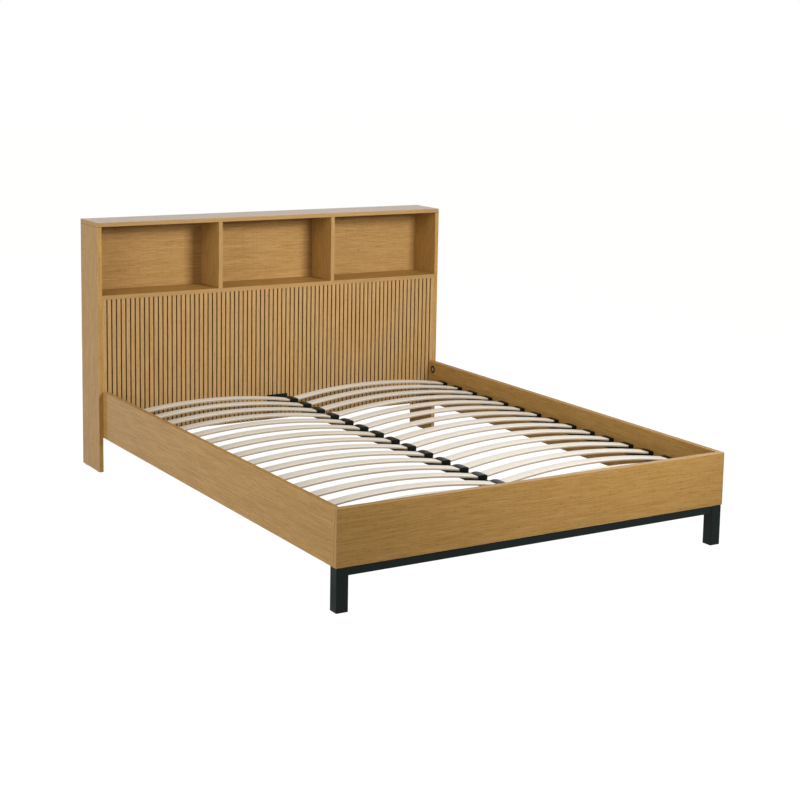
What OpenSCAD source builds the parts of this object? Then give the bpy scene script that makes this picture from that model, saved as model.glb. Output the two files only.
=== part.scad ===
// Double bed: veneered frame, cubby headboard with a fluted panel, bowed slats on a steel centre beam.
// Millimetres. +X right seen from the foot, +Y to the headboard, +Z up.
// The origin is at the centre of the overall box, on the floor.

/* [Mattress] */
// Width of the mattress that the frame takes
mattress_w = 1600; // [1400:10:1800]
// Length of the mattress
mattress_l = 2000; // [1900:10:2200]
// Clearance at each side of the mattress
clear_side = 3; // [1:1:15]
// Clearance at each end of the mattress
clear_end = 4; // [1:1:15]

/* [Rails] */
// Thickness of the side rails and the foot rail
rail_t = 22; // [20:1:30]
// Height of the rails
rail_h = 200; // [180:5:240]
// Floor to the underside of the rails
rail_z = 152; // [110:2:220]
// Small chamfer along the rails' edges
rail_chamfer = 1.2; // [0.4:0.2:3]

/* [Headboard] */
// Height of the headboard
head_h = 1070; // [980:10:1250]
// Depth of the headboard
head_d = 196; // [150:2:260]
// Thickness of the headboard's boards
board_t = 18; // [16:1:25]
// Small chamfer along the edges of the headboard's boards
board_chamfer = 0.8; // [0.2:0.1:2]
// Clear height of the cubbies
cubby_h = 290; // [200:5:340]
// Thickness of the back boards
back_t = 12; // [6:1:16]
// Back boards set in from the rear edge
back_inset = 2; // [0:0.5:8]
// Number of ribs on the fluted panel
rib_n = 78; // [40:1:90]
// Width of a groove in the fluted panel
groove_w = 5.2; // [3:0.1:8]
// Depth of a groove in the fluted panel
groove_d = 6; // [2:0.5:7.5]
// Small chamfer along the ribs' front edges
rib_chamfer = 0.8; // [0.2:0.1:1.5]
// Height of a floor glide under the side panels
glide_h = 3; // [2:0.5:6]
// Radius of a floor glide
glide_r = 8; // [5:0.5:9]
// Radius of a glide's nail
glide_nail_r = 1.6; // [1:0.1:2.5]
// Length of a glide's nail
glide_nail_l = 14; // [8:1:25]
// Glides set in from the front and rear edges of the side panels
glide_in = 34; // [20:1:60]
// Radius of the dowels between the headboard's boards
dowel_r = 4; // [3:0.5:4]
// Length of a dowel in the face of a board
dowel_face_l = 11; // [8:0.5:13]
// Length of a dowel in the edge of a board
dowel_edge_l = 17; // [12:0.5:17]
// Clearance around a dowel
dowel_fit = 0.1; // [0.05:0.05:0.3]
// Clearance past a dowel's ends
dowel_end_fit = 0.5; // [0.3:0.1:1]
// Dowels set in from the front and rear of the headboard
dowel_in = 48; // [40:1:60]
// Number of dowels up each side of the fluted panel
panel_dowel_n = 3; // [2:1:4]

/* [Slats] */
// Number of slats in each row
slat_n = 15; // [10:1:16]
// Width of a slat
slat_w = 53; // [45:1:70]
// Thickness of a slat
slat_t = 8; // [6:0.5:12]
// Rise of a bowed slat over its ends
slat_bow = 35.5; // [15:0.5:50]
// Space between the end slats and the frame
slat_end_gap = 111.5; // [70:0.5:160]
// Slat end to the rail's inner face
slat_side_gap = 4; // [3:0.5:8]
// Slat end to the middle line
slat_mid_gap = 3; // [2:0.5:6]

/* [Holders] */
// Length of the outer holders over the slat
side_holder_l = 27; // [18:1:34]
// Length of the double holders over both slats
mid_holder_l = 40; // [30:1:60]
// Wall of a holder beside and over the slat
holder_wall = 2.2; // [1.6:0.1:4]
// Plastic under a slat's end
holder_floor = 5; // [3:0.5:12]
// Crown of the double holders over their ends
holder_crown = 9; // [6:0.5:12]
// Fall of the double holders' roof to its front and rear edges
holder_sag = 8; // [2:0.5:8]
// Clearance around a slat in its holder
slat_fit = 0.35; // [0.2:0.05:0.8]
// Radius of a holder's peg
peg_r = 3.8; // [2.5:0.1:5]
// Length of a holder's peg
peg_l = 7; // [4:0.5:12]
// Clearance around a peg
peg_fit = 0.2; // [0.1:0.05:0.5]
// Peg to peg along the bed
peg_gap = 32; // [20:1:40]

/* [Ledges and beam] */
// Top of the ledges and the beam over the rails' underside
seat_h = 105; // [85:1:120]
// Width of the ledges' flat leg
ledge_w = 38; // [28:1:50]
// Height of the ledges' upright leg
ledge_h = 30; // [24:1:40]
// Thickness of the ledges
ledge_t = 3; // [2:0.5:5]
// Ledge end to the foot rail and to the headboard
ledge_end = 20; // [5:1:50]
// Width of the centre beam
beam_w = 40; // [34:1:60]
// Height of the centre beam
beam_h = 20; // [16:1:40]
// Wall of the centre beam
beam_wall = 2; // [1.5:0.5:4]
// Beam end to the foot rail and to the headboard
beam_end = 4; // [3.5:0.5:10]
// Width of a beam bracket's plate
bracket_w = 102; // [98:1:130]
// Bracket plate over the beam's top
bracket_up = 8; // [5:1:25]
// Bracket plate under its seat
bracket_down = 12; // [4:1:30]
// Thickness of the bracket's metal
bracket_t = 2.5; // [2:0.5:4]
// Length of the bracket's seat under the beam
bracket_l = 60; // [40:1:90]
// Clearance of the beam in its bracket
beam_fit = 0.3; // [0.2:0.1:1]
// Bracket cheeks under the beam's top
cheek_under = 2; // [0:0.5:10]
// Bracket screws set in from the plate's sides
bracket_screw_in = 8.5; // [7:0.5:9]
// Lower bracket screws over the bracket's seat
bracket_screw_low = -3; // [-5:0.5:0]
// Upper bracket screws over the beam's top
bracket_screw_up = -5; // [-7:0.5:-1]

/* [Legs] */
// Outer width of a square leg
leg_w = 45; // [40:1:60]
// Wall of the legs
leg_wall = 2; // [1.5:0.5:3]
// Outer corner radius of the steel tubes
tube_round = 3; // [2.5:0.25:4]
// Leg set in from the foot rail's end
leg_in_x = 4; // [0:0.5:12]
// Leg set in from the foot rail's front face
leg_in_y = 1; // [0:0.5:8]
// Plate that closes the top of a leg
leg_plate = 3; // [2:0.5:6]
// Height and width of the leg's inner angle
angle_size = 60; // [50:1:66]
// Thickness of the leg's inner angle
angle_t = 3; // [2:0.5:5]
// First screw of the angle from its corner
angle_screw_a = 22; // [20:1:26]
// Second screw of the angle from its corner
angle_screw_b = 43; // [38:1:44]
// Height of a leg's plastic foot
foot_h = 6; // [3:0.5:12]
// Height of the plug on a foot
foot_plug = 20; // [10:1:40]
// Clearance of the plug and the stub
tube_fit = 0.3; // [0.2:0.05:0.6]
// Height of the crossbar
bar_h = 30; // [20:1:40]
// Depth of the crossbar
bar_d = 38; // [24:1:38]
// Wall of the crossbar
bar_wall = 2; // [1.5:0.5:3]
// Crossbar face behind the leg's face
bar_back = 2.5; // [0.5:0.5:6]
// Length of the stub that carries the crossbar
stub_l = 40; // [20:1:80]

/* [Fittings and screws] */
// Radius of a fitting's ring
ring_r = 17; // [15:0.5:20]
// Ring's height over the rail's face
ring_t = 2.2; // [1:0.2:4]
// Radius of a fitting's sleeve
sleeve_r = 12.5; // [11:0.5:14]
// Radius of a fitting's steel core
core_r = 9.6; // [7:0.2:10]
// Depth of a fitting in the rail
fitting_depth = 15; // [13:0.5:17]
// Clearance of a fitting in its bore
fitting_fit = 0.2; // [0.1:0.05:0.5]
// Fitting's middle to the rail's end
fitting_in = 39; // [30:1:60]
// Upper fitting's middle under the rail's top
fitting_top = 37; // [30:1:60]
// Lower fitting's middle over the rail's underside
fitting_low = 35; // [24:1:45]
// Radius of a connector bolt
bolt_r = 4; // [3:0.1:5]
// Clearance around a connector bolt
bolt_fit = 0.15; // [0.1:0.05:0.4]
// Depth of a connector bolt in the board that it joins to
bolt_depth = 14; // [10:0.5:15]
// Length of a connector bolt inside its core
bolt_catch = 6; // [4:0.5:8]
// Core's face over the rail's face
core_proud = 1.4; // [0.2:0.2:2]
// Length of the cross slots in a core's face
core_slot_l = 11.6; // [8:0.2:13]
// Width and depth of the cross slots
core_slot_w = 2; // [1.2:0.2:2.4]
// Radius of a screw's head
screw_head_r = 4.5; // [3.5:0.1:5]
// Height of a screw's head
screw_head_h = 2.6; // [1.5:0.1:3.5]
// Radius of the hexagon socket in a screw's head
screw_socket_r = 2.2; // [1.5:0.1:2.4]
// Depth of the hexagon socket
screw_socket_d = 1.6; // [1:0.1:2]
// Radius of a screw's shank
screw_r = 2.1; // [1.5:0.1:2.5]
// Length of a screw's shank
screw_l = 14; // [10:0.5:16]
// Clearance around a screw's shank
screw_fit = 0.15; // [0.05:0.05:0.3]
// Number of screws in each ledge
ledge_screw_n = 6; // [3:1:10]
// End screws of a ledge from its ends
ledge_screw_end = 60; // [20:5:120]

/* [Hidden] */
$fn = 48;
inner_w = mattress_w + 2 * clear_side;
inner_l = mattress_l + 2 * clear_end;
frame_w = inner_w + 2 * rail_t;
frame_l = inner_l + rail_t;
total_w = frame_w + 2 * board_t;
total_d = frame_l + head_d;
// Landmarks along the bed
foot_y = -total_d / 2;
foot_in_y = foot_y + rail_t;
head_y = foot_y + frame_l;
rear_y = total_d / 2;
back_y = rear_y - back_inset - back_t;
side_x = frame_w / 2;
rail_in_x = inner_w / 2;
// Landmarks upwards
rail_top = rail_z + rail_h;
seat_z = rail_z + seat_h;
shelf_top = head_h - board_t - cubby_h;
shelf_low = shelf_top - board_t;
// Two dividers leave three equal cubbies
cubby_w = (frame_w - 2 * board_t) / 3;
rib_pitch = frame_w / rib_n;
// One groove from its left lip to its right lip, and the fluted panel's outline seen from above
groove_half = groove_w / 2;
groove_left = [[-groove_half - rib_chamfer, 0], [-groove_half, rib_chamfer], [-groove_half, groove_d]];
groove_right = [[groove_half, groove_d], [groove_half, rib_chamfer], [groove_half + rib_chamfer, 0]];
groove_points = [for (i = [1 : rib_n - 1]) for (p = concat(groove_left, groove_right))
    [-side_x + i * rib_pitch + p[0], p[1]]];
fluted_outline = concat([[-side_x, board_t], [-side_x, 0]], groove_points, [[side_x, 0], [side_x, board_t]]);
// Slats
slat_low = seat_z + holder_floor;
slat_chord = rail_in_x - slat_side_gap - slat_mid_gap;
slat_mid_x = (rail_in_x - slat_side_gap + slat_mid_gap) / 2;
slat_half = slat_chord / 2;
// Upper face is an arc through both end edges and the crown
slat_r = (slat_half * slat_half + slat_bow * slat_bow) / (2 * slat_bow);
slat_top = slat_low + slat_t;
slat_arc_z = slat_top + slat_bow - slat_r;
slat_pitch = (inner_l - 2 * slat_end_gap - slat_w) / (slat_n - 1);
slat_first_y = head_y - slat_end_gap - slat_w / 2;
function slat_y(i) = slat_first_y - i * slat_pitch;
holder_half = slat_w / 2 + slat_fit + holder_wall;
// Level roof of the outer holders, over the slat where it goes in
side_in_x = rail_in_x - side_holder_l;
side_top = slat_arc_z + sqrt(slat_r * slat_r - pow(side_in_x - slat_mid_x, 2)) + slat_fit + holder_wall;
// Height of the slat's upper face over the plane of the double holder's end
mid_rise = slat_arc_z + sqrt(slat_r * slat_r - pow(slat_mid_x - mid_holder_l / 2, 2));
mid_eave = mid_rise + slat_fit + holder_wall;
mid_top = mid_eave + holder_crown;
sag_r = (holder_half * holder_half + holder_sag * holder_sag) / (2 * holder_sag);
crown_r = (pow(mid_holder_l / 2, 2) + holder_crown * holder_crown) / (2 * holder_crown);
// Beam and its brackets
beam_low = seat_z - beam_h;
bracket_seat = beam_low - beam_fit;
bracket_screw_x = bracket_w / 2 - bracket_screw_in;
// Legs and crossbar
leg_x = side_x - leg_in_x - leg_w / 2;
leg_y = foot_y + leg_in_y + leg_w / 2;
leg_inner_x = leg_x - leg_w / 2;
bar_y = foot_y + leg_in_y + bar_back + bar_d / 2;
bar_z = rail_z - bar_h / 2;
angle_screw_z = rail_z + angle_size / 2;
// Fittings: [side, distance direction, y, z], at the head end twice and at the foot end once
bolt_x = side_x - rail_t / 2;
fit_z_up = rail_top - fitting_top;
fit_z_low = rail_z + fitting_low;
FITTINGS = [for (s = [-1, 1], k = [[1, fit_z_up], [1, fit_z_low], [-1, fit_z_up]])
    [s, k[0], k[0] > 0 ? head_y - fitting_in : foot_in_y + fitting_in, k[1]]];
ledge_y0 = foot_in_y + ledge_end;
ledge_y1 = head_y - ledge_end;
ledge_screw_z = seat_z - ledge_t - (ledge_h - ledge_t) / 2;
ledge_screw_span = ledge_y1 - ledge_y0 - 2 * ledge_screw_end;
function ledge_screw_y(i) = ledge_y0 + ledge_screw_end + i * ledge_screw_span / (ledge_screw_n - 1);
// Dowels: the rows along the bed, and up the sides of the fluted panel behind its grooves
divider_x = cubby_w / 2 + board_t / 2;
DOWEL_ROWS = [head_y + dowel_in, rear_y - dowel_in];
panel_dowel_y = head_y + (groove_d + board_t) / 2;
panel_dowel_step = (shelf_low - rail_top) / panel_dowel_n;

oak = [0.72, 0.56, 0.36];
oak_dark = [0.66, 0.49, 0.29];
birch = [0.88, 0.85, 0.80];
steel_black = [0.10, 0.12, 0.11];
plastic_black = [0.13, 0.13, 0.12];
steel = [0.62, 0.63, 0.64];

// A box between two corners
module span(a, b) {
    translate(a) cube(b - a);
}

// A rectangle with cut corners, from the origin
module cut_rectangle(w, h, c) {
    polygon([[c, 0], [w - c, 0], [w, c], [w, h - c], [w - c, h], [c, h], [0, h - c], [0, c]]);
}

// A board between two corners, with a small chamfer along every edge
module board(a, b, c) {
    d = b - a;
    translate(a) intersection() {
        linear_extrude(d[2]) cut_rectangle(d[0], d[1], c);
        translate([0, d[1], 0]) rotate([90, 0, 0]) linear_extrude(d[1]) cut_rectangle(d[0], d[2], c);
        rotate([90, 0, 90]) linear_extrude(d[0]) cut_rectangle(d[1], d[2], c);
    }
}

// A rectangle with round corners, about the origin
module round_rectangle(w, h, r) {
    square([w - 2 * r, h], center = true);
    square([w, h - 2 * r], center = true);
    for (x = [-1, 1], y = [-1, 1])
        translate([x * (w / 2 - r), y * (h / 2 - r)]) circle(r = r, $fn = 32);
}

// Steel tubes: their outline, and what fits inside their wall with a clearance
module tube_outline(w, h) {
    round_rectangle(w, h, tube_round);
}
module tube_inside(w, h, wall, fit) {
    inset = wall + fit;
    round_rectangle(w - 2 * inset, h - 2 * inset, max(tube_round - inset, 0.1));
}

// A screw along +Z, its head's underside at the origin and its shank below
module screw() {
    difference() {
        union() {
            cylinder(r = screw_head_r, h = screw_head_h * 0.6);
            translate([0, 0, screw_head_h * 0.6])
                cylinder(r1 = screw_head_r, r2 = screw_head_r * 0.7, h = screw_head_h * 0.4);
        }
        translate([0, 0, screw_head_h - screw_socket_d])
            cylinder(r = screw_socket_r, h = screw_socket_d + 1, $fn = 6);
    }
    translate([0, 0, -screw_l]) cylinder(r = screw_r, h = screw_l);
}

// The hole of a screw, from just over its seat down past its tip
module screw_hole() {
    translate([0, 0, -screw_l - 0.5]) cylinder(r = screw_r + screw_fit, h = screw_l + 1.5);
}

// Places children at every screw of the ledges, brackets and leg angles
module at_ledge_screws(s) {
    for (i = [0 : ledge_screw_n - 1])
        translate([s * (rail_in_x - ledge_t), ledge_screw_y(i), ledge_screw_z])
            rotate([0, -s * 90, 0]) children();
}
module at_bracket_screws(e) {
    y = e > 0 ? head_y - bracket_t : foot_in_y + bracket_t;
    heights = [bracket_seat + bracket_screw_low, seat_z + bracket_screw_up];
    for (x = [-bracket_screw_x, bracket_screw_x], z = heights)
        translate([x, y, z]) rotate([e * 90, 0, 0]) children();
}
module at_angle_screws(s) {
    for (d = [angle_screw_a, angle_screw_b]) {
        translate([s * (rail_in_x - d), foot_in_y + angle_t, angle_screw_z])
            rotate([-90, 0, 0]) children();
        translate([s * (rail_in_x - angle_t), foot_in_y + d, angle_screw_z])
            rotate([0, -s * 90, 0]) children();
    }
}

// Connector bolts run along Y through a rail's end, half in the board beyond it
module connector(f, grow) {
    y0 = f[1] > 0 ? f[2] + core_r - bolt_catch : foot_in_y - bolt_depth;
    y1 = f[1] > 0 ? head_y + bolt_depth : f[2] - core_r + bolt_catch;
    extra = grow > 0 ? 0.5 : 0;
    translate([f[0] * bolt_x, y0 - extra, f[3]]) rotate([-90, 0, 0])
        cylinder(r = bolt_r + grow, h = y1 - y0 + 2 * extra);
}

// A dowel along +Z through the origin, its longer end in the edge of a board, and its two blind bores
module dowel() {
    translate([0, 0, -dowel_face_l]) cylinder(r = dowel_r, h = dowel_face_l + dowel_edge_l);
}
module dowel_hole() {
    translate([0, 0, -dowel_face_l - dowel_end_fit])
        cylinder(r = dowel_r + dowel_fit, h = dowel_face_l + dowel_edge_l + 2 * dowel_end_fit);
}

// Places children at the dowels of one side: board ends and panel ends to the side panel, and its top
module at_end_dowels(s) {
    for (z = [shelf_top - board_t / 2, rail_z + board_t / 2], y = DOWEL_ROWS)
        translate([s * side_x, y, z]) rotate([0, -s * 90, 0]) children();
}
module at_panel_dowels(s) {
    for (i = [0 : panel_dowel_n - 1])
        translate([s * side_x, panel_dowel_y, rail_top + (i + 0.5) * panel_dowel_step])
            rotate([0, -s * 90, 0]) children();
}
module at_top_dowels(s) {
    for (y = DOWEL_ROWS)
        translate([s * (side_x + board_t / 2), y, head_h - board_t]) rotate([180, 0, 0]) children();
}
module at_divider_dowels(s) {
    for (y = DOWEL_ROWS) {
        translate([s * divider_x, y, shelf_top]) children();
        translate([s * divider_x, y, head_h - board_t]) rotate([180, 0, 0]) children();
    }
}

// One bowed slat of the right row, grown by a clearance for the pockets
module slat_arc(grow, ends) {
    translate([slat_mid_x, 0, slat_arc_z]) intersection() {
        rotate([90, 0, 0]) difference() {
            cylinder(r = slat_r + grow, h = slat_w + 2 * grow, center = true, $fn = 720);
            cylinder(r = slat_r - slat_t - grow, h = slat_w + 2 * grow + 2, center = true, $fn = 720);
        }
        translate([-slat_half - ends, -slat_w, slat_r - slat_bow - slat_t * 2])
            cube([slat_chord + 2 * ends, 2 * slat_w, slat_bow + slat_t * 4]);
    }
}

module slat(s, i) {
    color(birch) translate([0, slat_y(i), 0]) mirror([s < 0 ? 1 : 0, 0, 0]) slat_arc(0, 0);
}

module pegs(grow, deep) {
    for (y = [-peg_gap / 2, peg_gap / 2])
        translate([0, y, -deep]) cylinder(r = peg_r + grow, h = deep + grow);
}

// Outer holder of the right row
module side_holder() {
    difference() {
        union() {
            span([side_in_x, -holder_half, seat_z], [rail_in_x - slat_fit, holder_half, side_top]);
            translate([rail_in_x - side_holder_l / 2, 0, seat_z]) pegs(0, peg_l);
        }
        slat_arc(slat_fit, slat_fit);
    }
}

// Double holder on the centre beam, its roof crowned both ways over the slats' ends
module mid_holder() {
    difference() {
        union() {
            intersection() {
                union() {
                    span([-mid_holder_l / 2, -holder_half, seat_z],
                        [mid_holder_l / 2, holder_half, mid_eave]);
                    intersection() {
                        span([-mid_holder_l / 2, -holder_half, mid_eave - 1],
                            [mid_holder_l / 2, holder_half, mid_top + 1]);
                        translate([0, 0, mid_top - crown_r]) rotate([90, 0, 0])
                            cylinder(r = crown_r, h = 3 * slat_w, center = true, $fn = 120);
                    }
                }
                translate([0, 0, mid_top - sag_r]) rotate([0, 90, 0])
                    cylinder(r = sag_r, h = 2 * mid_holder_l, center = true, $fn = 240);
            }
            translate([0, 0, seat_z]) pegs(0, peg_l);
        }
        slat_arc(slat_fit, slat_fit);
        mirror([1, 0, 0]) slat_arc(slat_fit, slat_fit);
    }
}

// Side panel: a full-height board on two glides
module headboard_side(s) {
    color(oak) difference() {
        board([s > 0 ? side_x : -side_x - board_t, head_y, glide_h],
            [s > 0 ? side_x + board_t : -side_x, rear_y, head_h - board_t], board_chamfer);
        at_glides(s) translate([0, 0, -1]) cylinder(r = glide_nail_r + screw_fit, h = glide_nail_l + 1.5);
        at_end_dowels(s) dowel_hole();
        at_panel_dowels(s) dowel_hole();
        at_top_dowels(s) dowel_hole();
    }
}
module at_glides(s) {
    for (y = [head_y + glide_in, rear_y - glide_in])
        translate([s * (side_x + board_t / 2), y, glide_h]) children();
}
module headboard_side_left() { headboard_side(-1); }
module headboard_side_right() { headboard_side(1); }
module headboard_glides() {
    color(plastic_black) for (s = [-1, 1]) at_glides(s) {
        translate([0, 0, -glide_h]) cylinder(r1 = glide_r - 1, r2 = glide_r, h = 1);
        translate([0, 0, 1 - glide_h]) cylinder(r = glide_r, h = glide_h - 1);
        cylinder(r = glide_nail_r, h = glide_nail_l);
    }
}

module headboard_top() {
    color(oak) difference() {
        board([-total_w / 2, head_y, head_h - board_t], [total_w / 2, rear_y, head_h], board_chamfer);
        for (s = [-1, 1]) {
            at_top_dowels(s) dowel_hole();
            at_divider_dowels(s) dowel_hole();
        }
    }
}

module headboard_shelf() {
    color(oak) difference() {
        board([-side_x, head_y, shelf_low], [side_x, rear_y - back_inset, shelf_top], board_chamfer);
        for (s = [-1, 1]) {
            at_end_dowels(s) dowel_hole();
            at_divider_dowels(s) dowel_hole();
        }
    }
}

module divider(s) {
    x = s * divider_x;
    color(oak) difference() {
        board([x - board_t / 2, head_y, shelf_top],
            [x + board_t / 2, back_y, head_h - board_t], board_chamfer);
        at_divider_dowels(s) dowel_hole();
    }
}
module divider_left() { divider(-1); }
module divider_right() { divider(1); }

module cubby_back() {
    color(oak_dark) span([-side_x, back_y, shelf_top], [side_x, back_y + back_t, head_h - board_t]);
}

module lower_back() {
    color(oak_dark) span([-side_x, back_y, rail_z + board_t], [side_x, back_y + back_t, shelf_low]);
}

module base_board() {
    color(oak_dark) difference() {
        board([-side_x, head_y + board_t, rail_z],
            [side_x, rear_y - back_inset, rail_z + board_t], board_chamfer);
        for (s = [-1, 1]) at_end_dowels(s) dowel_hole();
    }
}

module headboard_dowels() {
    color(birch) for (s = [-1, 1]) {
        at_end_dowels(s) dowel();
        at_panel_dowels(s) dowel();
        at_top_dowels(s) dowel();
        at_divider_dowels(s) dowel();
    }
}

// Fluted panel: a board with upright grooves in its front face
module fluted_panel() {
    color(oak) difference() {
        translate([0, head_y, rail_z]) linear_extrude(shelf_low - rail_z) polygon(fluted_outline);
        for (s = [-1, 1]) at_panel_dowels(s) dowel_hole();
        for (f = FITTINGS) if (f[1] > 0) connector(f, bolt_fit);
        at_bracket_screws(1) screw_hole();
    }
}

// A side rail with its fittings' bores, bolt bores and screw holes
module rail_side(s) {
    x0 = s > 0 ? rail_in_x : -side_x;
    x1 = s > 0 ? side_x : -rail_in_x;
    color(oak) difference() {
        board([x0, foot_in_y, rail_z], [x1, head_y, rail_top], rail_chamfer);
        for (f = FITTINGS) if (f[0] == s) {
            connector(f, bolt_fit);
            translate([s * rail_in_x, f[2], f[3]]) rotate([0, s * 90, 0]) translate([0, 0, -1])
                cylinder(r = sleeve_r + fitting_fit, h = fitting_depth + 1.5);
        }
        at_ledge_screws(s) screw_hole();
        at_angle_screws(s) screw_hole();
    }
}
module rail_left() { rail_side(-1); }
module rail_right() { rail_side(1); }

// Foot rail, which covers the ends of both side rails
module rail_foot() {
    color(oak) difference() {
        board([-side_x, foot_y, rail_z], [side_x, foot_in_y, rail_top], rail_chamfer);
        for (f = FITTINGS) if (f[1] < 0) connector(f, bolt_fit);
        at_bracket_screws(-1) screw_hole();
        for (s = [-1, 1]) at_angle_screws(s) screw_hole();
    }
}

// Steel angle on a side rail: a flat leg for the holders and an upright leg with screws
module ledge(s) {
    color(steel_black) mirror([s < 0 ? 1 : 0, 0, 0]) difference() {
        union() {
            span([rail_in_x - ledge_w, ledge_y0, seat_z - ledge_t], [rail_in_x, ledge_y1, seat_z]);
            span([rail_in_x - ledge_t, ledge_y0, seat_z - ledge_h], [rail_in_x, ledge_y1, seat_z]);
        }
        for (i = [0 : slat_n - 1])
            translate([rail_in_x - side_holder_l / 2, slat_y(i), seat_z]) pegs(peg_fit, ledge_t + 1);
        at_ledge_screws(1) screw_hole();
    }
}
module ledge_left() { ledge(-1); }
module ledge_right() { ledge(1); }

module holders_left() {
    color(plastic_black) for (i = [0 : slat_n - 1])
        translate([0, slat_y(i), 0]) mirror([1, 0, 0]) side_holder();
}
module holders_right() {
    color(plastic_black) for (i = [0 : slat_n - 1]) translate([0, slat_y(i), 0]) side_holder();
}
module holders_centre() {
    color(plastic_black) for (i = [0 : slat_n - 1]) translate([0, slat_y(i), 0]) mid_holder();
}

// Rectangular tube along the middle, with holes for the holders' pegs in its top wall
module along_beam(y0, y1) {
    translate([0, y1, beam_low + beam_h / 2]) rotate([90, 0, 0]) linear_extrude(y1 - y0) children();
}
module centre_beam() {
    color(steel_black) difference() {
        along_beam(foot_in_y + beam_end, head_y - beam_end) tube_outline(beam_w, beam_h);
        along_beam(foot_in_y, head_y) tube_inside(beam_w, beam_h, beam_wall, 0);
        for (i = [0 : slat_n - 1]) translate([0, slat_y(i), seat_z]) pegs(peg_fit, beam_wall + 1);
    }
}

// Bracket at each end of the beam: wall plate, seat and two cheeks
module beam_bracket(e) {
    face = e > 0 ? head_y : foot_in_y;
    cheek_in = beam_w / 2 + beam_fit;
    y_plate = [min(face, face - e * bracket_t), max(face, face - e * bracket_t)];
    y_seat = [min(face, face - e * bracket_l), max(face, face - e * bracket_l)];
    color(steel_black) difference() {
        union() {
            span([-bracket_w / 2, y_plate[0], bracket_seat - bracket_t - bracket_down],
                [bracket_w / 2, y_plate[1], seat_z + bracket_up]);
            span([-cheek_in - bracket_t, y_seat[0], bracket_seat - bracket_t],
                [cheek_in + bracket_t, y_seat[1], bracket_seat]);
            for (x = [-cheek_in - bracket_t, cheek_in])
                span([x, y_seat[0], bracket_seat - bracket_t],
                    [x + bracket_t, y_seat[1], seat_z - cheek_under]);
        }
        at_bracket_screws(e) screw_hole();
    }
}
module beam_brackets() {
    for (e = [-1, 1]) beam_bracket(e);
}

// Leg of the right side: square tube, top plate, inner angle and a stub for the crossbar
module leg_right_body() {
    difference() {
        union() {
            difference() {
                translate([leg_x, leg_y, foot_h]) linear_extrude(rail_z - foot_h) tube_outline(leg_w, leg_w);
                translate([leg_x, leg_y, foot_h - 1]) linear_extrude(rail_z - leg_plate - foot_h + 1)
                    tube_inside(leg_w, leg_w, leg_wall, 0);
            }
            span([rail_in_x - angle_size, foot_in_y, rail_z],
                [rail_in_x, foot_in_y + angle_t, rail_z + angle_size]);
            span([rail_in_x - angle_t, foot_in_y, rail_z],
                [rail_in_x, foot_in_y + angle_size, rail_z + angle_size]);
            along_bar(leg_inner_x - stub_l, leg_inner_x + leg_wall / 2)
                tube_inside(bar_d, bar_h, bar_wall, tube_fit);
        }
        at_angle_screws(1) screw_hole();
    }
}
module leg_right() { color(steel_black) leg_right_body(); }
module leg_left() { color(steel_black) mirror([1, 0, 0]) leg_right_body(); }

// Crossbar between the legs, pushed over both stubs
module along_bar(x0, x1) {
    translate([x0, bar_y, bar_z]) rotate([90, 0, 90]) linear_extrude(x1 - x0) children();
}
module crossbar() {
    color(steel_black) difference() {
        along_bar(-leg_inner_x, leg_inner_x) tube_outline(bar_d, bar_h);
        along_bar(-leg_inner_x - 1, leg_inner_x + 1) tube_inside(bar_d, bar_h, bar_wall, 0);
    }
}

// Plastic foot with a plug that fills the end of the leg
module leg_feet() {
    color(plastic_black) for (s = [-1, 1]) translate([s * leg_x, leg_y, 0]) {
        linear_extrude(foot_h) tube_outline(leg_w, leg_w);
        linear_extrude(foot_h + foot_plug) tube_inside(leg_w, leg_w, leg_wall, tube_fit);
    }
}

// Ring and sleeve of a fitting, open in the middle for its core
module fitting_rings() {
    color(plastic_black) for (f = FITTINGS) difference() {
        translate([f[0] * rail_in_x, f[2], f[3]]) rotate([0, f[0] * 90, 0]) difference() {
            union() {
                translate([0, 0, -ring_t]) cylinder(r = ring_r, h = ring_t);
                cylinder(r = sleeve_r, h = fitting_depth);
            }
            translate([0, 0, -ring_t - 1]) cylinder(r = core_r + fitting_fit, h = fitting_depth + ring_t + 2);
        }
        connector(f, bolt_fit);
    }
}

// Steel core of a fitting, with a slot in its face and a bore for the bolt's tip
module fitting_cores() {
    color(steel) for (f = FITTINGS) difference() {
        translate([f[0] * rail_in_x, f[2], f[3]]) rotate([0, f[0] * 90, 0]) difference() {
            translate([0, 0, -core_proud]) cylinder(r = core_r, h = fitting_depth + core_proud);
            for (a = [0, 90]) rotate([0, 0, a])
                translate([-core_slot_l / 2, -core_slot_w / 2, -core_proud - 1])
                    cube([core_slot_l, core_slot_w, core_slot_w + 1]);
        }
        connector(f, bolt_fit);
    }
}

module connector_bolts() {
    color(steel) for (f = FITTINGS) connector(f, 0);
}

module frame_screws() {
    color(steel_black) {
        for (s = [-1, 1]) {
            at_ledge_screws(s) screw();
            at_angle_screws(s) screw();
        }
        for (e = [-1, 1]) at_bracket_screws(e) screw();
    }
}

headboard_side_left();
headboard_side_right();
headboard_top();
headboard_shelf();
divider_left();
divider_right();
cubby_back();
fluted_panel();
lower_back();
base_board();
headboard_glides();
headboard_dowels();
rail_left();
rail_right();
rail_foot();
ledge_left();
ledge_right();
fitting_rings();
fitting_cores();
connector_bolts();
leg_left();
leg_right();
crossbar();
leg_feet();
holders_left();
holders_right();
holders_centre();
centre_beam();
beam_brackets();
frame_screws();

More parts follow.
